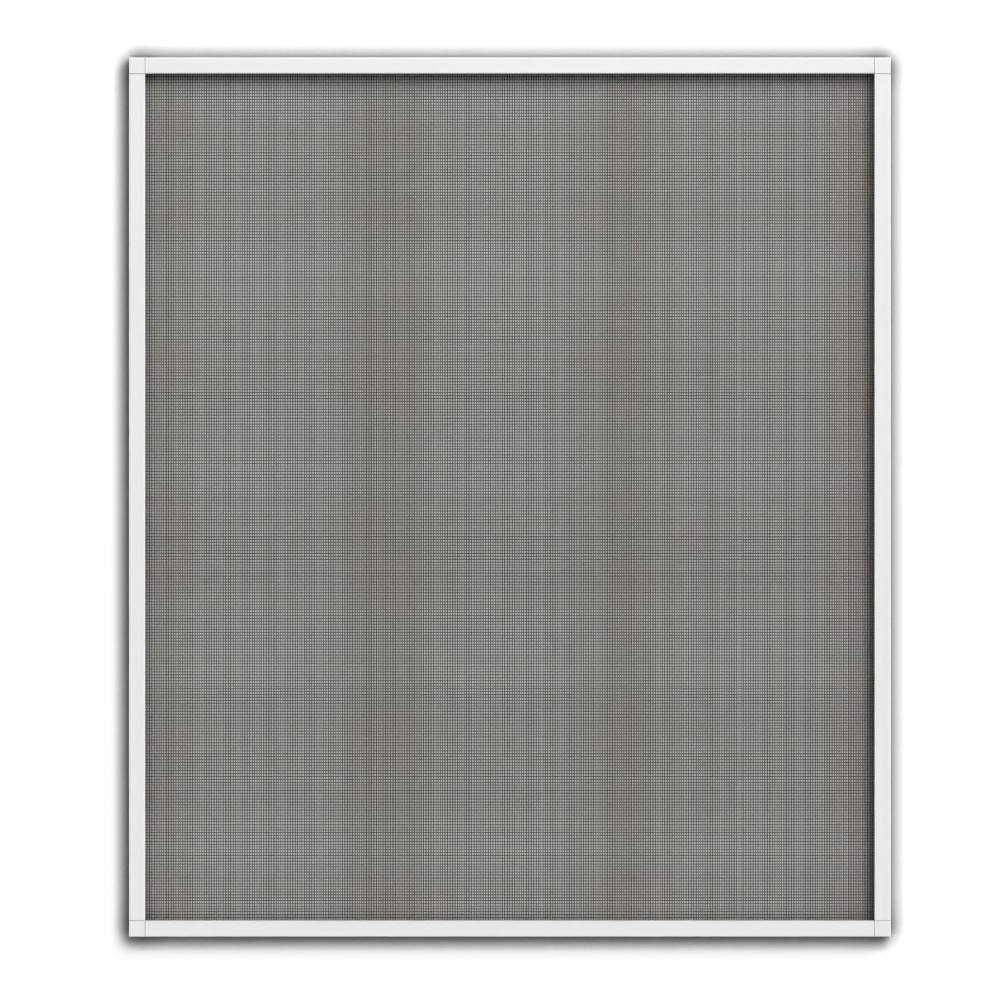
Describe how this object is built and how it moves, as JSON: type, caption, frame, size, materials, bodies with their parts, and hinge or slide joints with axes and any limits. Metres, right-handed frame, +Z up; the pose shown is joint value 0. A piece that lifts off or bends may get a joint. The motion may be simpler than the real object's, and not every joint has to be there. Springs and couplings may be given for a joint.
{
  "type": "window screen frame",
  "caption": "Rectangular insect screen for a window: hollow white bars joined by moulded corner keys, with grey woven cloth held by a spline in a groove at the back.",
  "frame": {"origin": "middle of the outer edge of the bottom rail, half way through the frame's thickness", "axes": "+Z up the stiles, +X to the right as seen from the smooth front, +Y from the smooth front to the back with the spline groove"},
  "size_m": [0.904, 0.011, 1.0434],
  "materials": {
    "frame_enamel": "satin",
    "corner_plastic": "satin",
    "screen_cloth": "matte",
    "spline_vinyl": "matte"
  },
  "bodies": {
    "root": {"top_rail": "frame_enamel", "bottom_rail": "frame_enamel", "left_stile": "frame_enamel", "right_stile": "frame_enamel", "corner_key_top_left": "corner_plastic", "corner_key_top_right": "corner_plastic", "corner_key_bottom_left": "corner_plastic", "corner_key_bottom_right": "corner_plastic", "insect_screen": "screen_cloth", "screen_spline": "spline_vinyl"}
  },
  "joints": []
}
